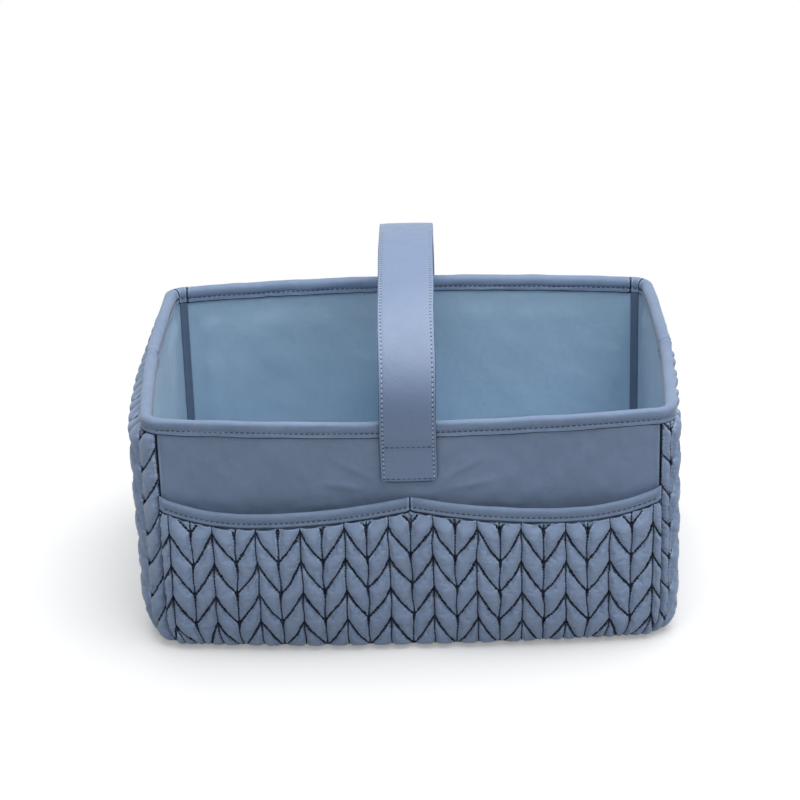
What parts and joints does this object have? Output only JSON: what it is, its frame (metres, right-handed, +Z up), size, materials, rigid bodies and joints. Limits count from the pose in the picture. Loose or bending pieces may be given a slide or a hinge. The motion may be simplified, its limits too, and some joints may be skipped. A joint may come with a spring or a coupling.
{
  "type": "diaper caddy",
  "caption": "Padded fabric nursery caddy with braid-quilted sides and outer pockets, bound rim, lift-out divider and one wide carrying strap.",
  "frame": {"origin": "middle of the resting face", "axes": "+X to the right along the front, -Y out of the front, +Z up"},
  "size_m": [0.3864, 0.2836, 0.2478],
  "materials": {
    "cloth": "smooth woven, slate blue",
    "quilted_cloth": "padded and quilted, slate blue",
    "lining_cloth": "smooth coated lining, slate blue",
    "strap_hide": "fine grain imitation hide, satin",
    "foam": "closed-cell foam sheet",
    "board": "stiff base board",
    "grip_tape": "hook and loop tape"
  },
  "bodies": {
    "caddy": {"base_outer_panel": "cloth", "front_panel": "cloth", "back_panel": "cloth", "front_pocket_binding": "cloth", "back_pocket_binding": "cloth", "rim_binding_front_and_sides": "cloth", "rim_binding_back": "cloth", "rim_binding_corner_right": "cloth", "rim_binding_corner_left": "cloth", "corner_tape_front_right": "cloth", "corner_tape_back_right": "cloth", "corner_tape_front_left": "cloth", "corner_tape_back_left": "cloth", "right_quilted_panel": "quilted_cloth", "left_quilted_panel": "quilted_cloth", "front_pocket_panel": "quilted_cloth", "back_pocket_panel": "quilted_cloth", "lining_floor": "lining_cloth", "lining_front": "lining_cloth", "lining_back": "lining_cloth", "lining_left": "lining_cloth", "lining_right": "lining_cloth", "strap_under_layer": "strap_hide", "strap_outer_layer": "strap_hide", "foam_front": "foam", "foam_back": "foam", "foam_right_front": "foam", "foam_right_back": "foam", "foam_left_front": "foam", "foam_left_back": "foam", "base_board": "board", "loop_tape_front": "grip_tape", "loop_tape_back": "grip_tape"},
    "divider": {"divider_core": "foam", "divider_cover_right": "lining_cloth", "divider_cover_left": "lining_cloth", "divider_binding": "cloth", "hook_tape_front": "grip_tape", "hook_tape_back": "grip_tape"}
  },
  "joints": [
    {"name": "divider_lift", "type": "slide", "parent": "caddy", "child": "divider", "axis": [0.342, 0, 0.9397], "range_m": [0, 0.21]}
  ]
}
